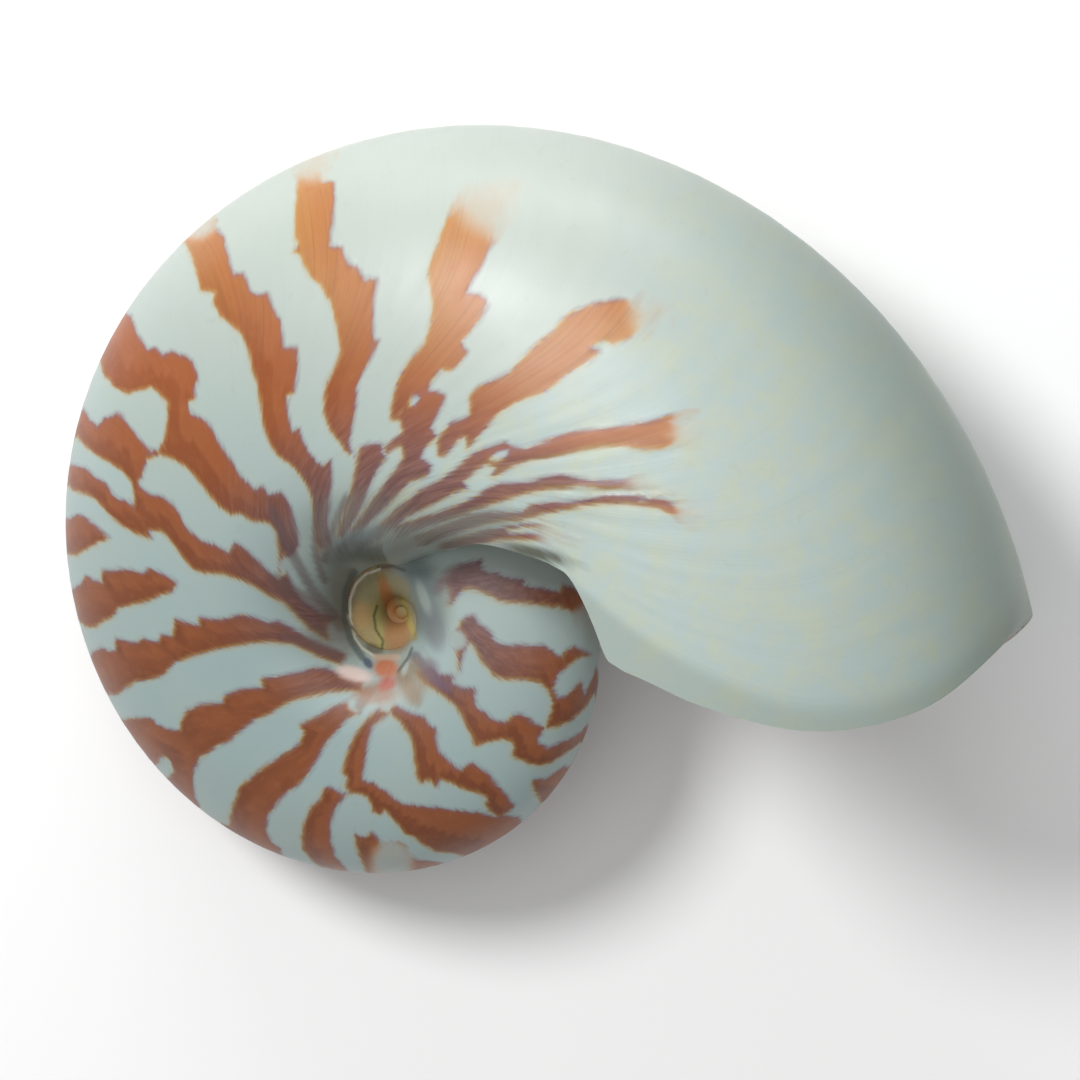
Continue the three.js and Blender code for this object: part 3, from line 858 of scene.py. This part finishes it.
# Materials
class Nodes:
    """Short names for shader nodes; an input is a number, a colour or another node's output."""

    def __init__(self, material):
        material.use_nodes = True
        self.tree = material.node_tree
        self.shader = self.tree.nodes["Principled BSDF"]

    def set(self, node, values):
        for name, value in values.items():
            if isinstance(value, bpy.types.NodeSocket):
                self.tree.links.new(value, node.inputs[name])
            else:
                node.inputs[name].default_value = value

    def add(self, kind, values, output=0, **settings):
        node = self.tree.nodes.new("ShaderNode" + kind)
        for name, setting in settings.items():
            setattr(node, name, setting)
        self.set(node, values)
        return node.outputs[output]

    def attribute(self, name, output="Fac"):
        return self.add("Attribute", {}, output, attribute_name=name)

    def math(self, operation, a, b=0.0, clamp=False):
        return self.add("Math", {0: a, 1: b}, operation=operation, use_clamp=clamp)

    def times(self, a, b):
        return self.math("MULTIPLY", a, b)

    def rise(self, value, low, high, start=0.0, end=1.0):
        return self.add("MapRange", {"Value": value, "From Min": low, "From Max": high,
                                     "To Min": start, "To Max": end}, interpolation_type="SMOOTHSTEP")

    def mix(self, factor, a, b, **settings):
        return self.add("Mix", {0: factor, 6: a, 7: b}, 2, data_type="RGBA", **settings)

    def stretch(self, vector, by):
        return self.add("VectorMath", {0: vector, 1: by}, operation="MULTIPLY")

    def noise(self, vector, scale, detail=3.0, roughness=0.55, distortion=0.0):
        return self.add("TexNoise", {"Vector": vector, "Scale": scale, "Detail": detail,
                                     "Roughness": roughness, "Distortion": distortion})


def outside_material():
    material = bpy.data.materials.new("shell_outside")
    n = Nodes(material)
    coil = n.attribute("coil", "Vector")
    place = n.add("TexCoord", {}, "Object")
    soft, purple, smoke, plain = (n.attribute(name) for name in ("soft", "purple", "smoke", "plain"))
    patches = n.noise(place, 60, 3)
    specks = n.noise(place, 420, 3, 0.6)
    blotches = n.noise(place, 150, 5, 0.72)
    threads = n.noise(n.stretch(coil, (30, 2.5, 0)), 1.0, 3, 0.6)
    fibres = n.noise(n.stretch(coil, (5, 22, 0)), 1.0, 3, 0.6)

    # The body: greenish white, darker and cooler towards the lower left of the view, mottled near the mouth
    cool = n.attribute("cool")
    body = n.mix(cool, colour(184, 193, 185), colour(162, 182, 181))
    body = n.mix(n.rise(patches, 0.35, 0.7, 0, 0.35), body, colour(174, 184, 174))
    mouth_side = n.mix(n.rise(blotches, 0.4, 0.65), colour(174, 190, 187), colour(183, 192, 174))
    body = n.mix(n.times(plain, 0.85), body, mouth_side)
    body = n.mix(n.rise(threads, 0.5, 0.8, 0, 0.12), body, colour(150, 162, 150))
    body = n.mix(n.rise(specks, 0.62, 0.74, 0, 0.10), body, colour(150, 150, 122))

    # Painted shade: darker towards the keel near the mouth, at the view's right edge, away from the light
    body = n.mix(n.times(n.attribute("painted_keel_shade"), 0.7), body, colour(122, 138, 128))

    # The stripes: edges ragged where bands of growth end, softer at the ends
    teeth = n.noise(n.stretch(coil, (9, 26, 0)), 1.0, 2, 0.5)
    wander = n.times(n.math("SUBTRACT", teeth, 0.5), n.rise(soft, 0, 1, 1.1, 7.0))
    depth = n.math("ADD", n.attribute("stripe"), wander)
    width = n.rise(soft, 0, 1, 0.34, 3.4)
    cover = n.rise(n.math("DIVIDE", depth, width), -1, 1)
    faint = n.rise(soft, 0.1, 1.0, 1.0, 0.25)
    cover = n.times(cover, faint)
    warm = n.mix(n.rise(cool, 0.0, 0.34), colour(184, 128, 74), colour(152, 84, 46))
    warm = n.mix(n.rise(cool, 0.35, 1.0), warm, colour(128, 74, 50))
    lit_side = n.rise(n.math("ADD", n.attribute("facing"), n.times(depth, -0.12)), 0.5, -0.9)
    warm = n.mix(n.times(lit_side, 0.35), warm, colour(178, 108, 66))
    warm = n.mix(n.rise(threads, 0.42, 0.8, 0, 0.35), warm, colour(116, 76, 60))
    warm = n.mix(n.rise(fibres, 0.5, 0.8, 0, 0.2), warm, colour(180, 116, 72))
    warm = n.mix(n.rise(specks, 0.5, 0.7, 0, 0.10), warm, colour(186, 124, 82))
    plum = n.mix(n.rise(fibres, 0.35, 0.7), colour(104, 80, 82), colour(134, 104, 100))
    stripe = n.mix(n.times(purple, 0.85), warm, plum)
    stripe = n.mix(n.times(soft, 0.8), stripe, colour(204, 148, 84))
    stripe = n.mix(n.times(n.times(soft, purple), 0.9), stripe, colour(116, 96, 96))

    # The colour fringes beside them: yellow on one side, violet on the other
    beside = n.times(n.rise(n.math("ABSOLUTE", depth), 0.85, 0.1), n.rise(soft, 0, 0.5, 0.36, 0))
    fringe = n.mix(n.rise(n.attribute("facing"), -0.35, 0.35), colour(124, 100, 124), colour(184, 156, 88))
    skin = n.mix(cover, body, stripe)
    skin = n.mix(beside, skin, fringe)

    # The smoky ring round the umbilicus and what shows inside it
    streaks = n.noise(n.stretch(coil, (26, 3.5, 0)), 1.0, 4, 0.65)
    smoky = n.mix(n.rise(streaks, 0.35, 0.65), colour(100, 108, 100), colour(140, 148, 140))
    skin = n.mix(n.times(smoke, n.rise(streaks, 0.25, 0.7, 0.6, 0.95)), skin, smoky)
    tan = n.mix(n.rise(fibres, 0.35, 0.65), colour(128, 112, 70), colour(166, 152, 112))
    tan = n.mix(n.rise(n.noise(place, 130, 3, 0.6), 0.48, 0.62), tan, colour(158, 104, 60))
    skin = n.mix(n.attribute("early"), skin, tan)
    grain = n.mix(n.rise(streaks, 0.3, 0.7, 0, 0.3), n.attribute("tint", "Color"), skin)
    skin = n.mix(n.attribute("tinted"), skin, grain)
    # Painted shade under the lip's edge: dark olive
    skin = n.mix(n.times(n.attribute("under_lip"), 0.85), skin, colour(74, 70, 50))
    skin = n.mix(n.times(n.attribute("edge"), 0.35), skin, colour(120, 128, 112))
    skin = n.mix(n.attribute("covered"), skin, colour(196, 190, 176))

    ridges = n.noise(n.stretch(coil, (60, 1.2, 0)), 1.0, 3, 0.6)
    relief = n.math("ADD", n.times(ridges, 0.6), n.times(specks, 0.4))
    bump = n.add("Bump", {"Strength": 0.10, "Distance": 0.0003, "Height": relief})
    rough = n.rise(patches, 0.3, 0.7, 0.38, 0.44)
    rough = n.math("SUBTRACT", rough, n.times(n.attribute("glaze"), 0.12))
    rough = n.math("ADD", rough, n.times(n.attribute("early"), 0.3))
    n.set(n.shader, {"Base Color": skin, "Roughness": rough, "Normal": bump, "Specular IOR Level": 0.5})
    return material


def pearl_material():
    material = bpy.data.materials.new("mother_of_pearl")
    n = Nodes(material)
    coil = n.attribute("coil", "Vector")
    place = n.add("TexCoord", {}, "Object")
    clouds = n.noise(place, 38, 3, 0.5, 0.6)
    bands = n.noise(n.stretch(coil, (7, 1.2, 0)), 1.0, 3, 0.55)
    fine = n.noise(n.stretch(coil, (70, 3, 0)), 1.0, 3, 0.6)
    skin = n.mix(n.rise(clouds, 0.35, 0.62), colour(232, 226, 214), colour(236, 214, 210))
    skin = n.mix(n.rise(bands, 0.45, 0.68, 0, 0.7), skin, colour(206, 224, 214))
    skin = n.mix(n.rise(clouds, 0.6, 0.75, 0, 0.6), skin, colour(214, 208, 230))
    skin = n.mix(n.rise(fine, 0.5, 0.8, 0, 0.2), skin, colour(190, 184, 168))
    bump = n.add("Bump", {"Strength": 0.12, "Distance": 0.0003, "Height": fine})
    rough = n.rise(bands, 0.3, 0.7, 0.2, 0.3)
    n.set(n.shader, {"Base Color": skin, "Roughness": rough, "Normal": bump, "Metallic": 0.12,
                     "Coat Weight": 0.5, "Coat Roughness": 0.1})
    return material


for material in (outside_material(), pearl_material()):
    mesh.materials.append(material)
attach(shell, "root")
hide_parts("shell")

# Floor, light and camera
bpy.ops.mesh.primitive_plane_add(size=4, location=(0, 0, -0.0001))
floor = bpy.context.object
floor.name = "floor"
paper = bpy.data.materials.new("paper")
paper.use_nodes = True
paper.node_tree.nodes["Principled BSDF"].inputs["Base Color"].default_value = (0.9, 0.9, 0.9, 1)
paper.node_tree.nodes["Principled BSDF"].inputs["Roughness"].default_value = 0.9
floor.data.materials.append(paper)


def softbox(name, place, size, watts, aim=(0, 0, 0.02)):
    light = bpy.data.lights.new(name, "AREA")
    light.shape = "ELLIPSE"
    light.size, light.size_y = size
    light.energy = watts
    lamp = bpy.data.objects.new(name, light)
    lamp.location = place
    lamp.rotation_euler = (Vector(aim) - lamp.location).to_track_quat("-Z", "Y").to_euler()
    bpy.context.scene.collection.objects.link(lamp)


softbox("key", (-0.46, 0.46, 0.90), (0.36, 0.36), 8.3)
softbox("low", (-0.19, 0.93, 0.30), (0.80, 0.30), 4.0)
softbox("fill", (0.05, 0.10, 1.30), (1.00, 1.00), 3.2)
world = bpy.data.worlds.new("studio")
world.use_nodes = True
world.node_tree.nodes["Background"].inputs["Color"].default_value = (1.0, 1.0, 1.0, 1)
world.node_tree.nodes["Background"].inputs["Strength"].default_value = 0.32
bpy.context.scene.world = world
bpy.context.scene.view_settings.view_transform = "Standard"

right, up, back = VIEW_AXES
eye = (-POLE_RIGHT_PX * right - POLE_UP_PX * up + VIEW_DISTANCE_PX * back) * MM_PER_PX
view = np.eye(4)
view[:3, :3] = AT_REST @ VIEW_AXES.T
view[:3, 3] = (AT_REST @ eye + POLE) * MM
lens = bpy.data.cameras.new("camera")
lens.angle = 2 * np.arctan(MIDDLE_PX / VIEW_DISTANCE_PX)
camera = bpy.data.objects.new("camera", lens)
camera.matrix_world = Matrix(view.tolist())
bpy.context.scene.collection.objects.link(camera)
bpy.context.scene.camera = camera
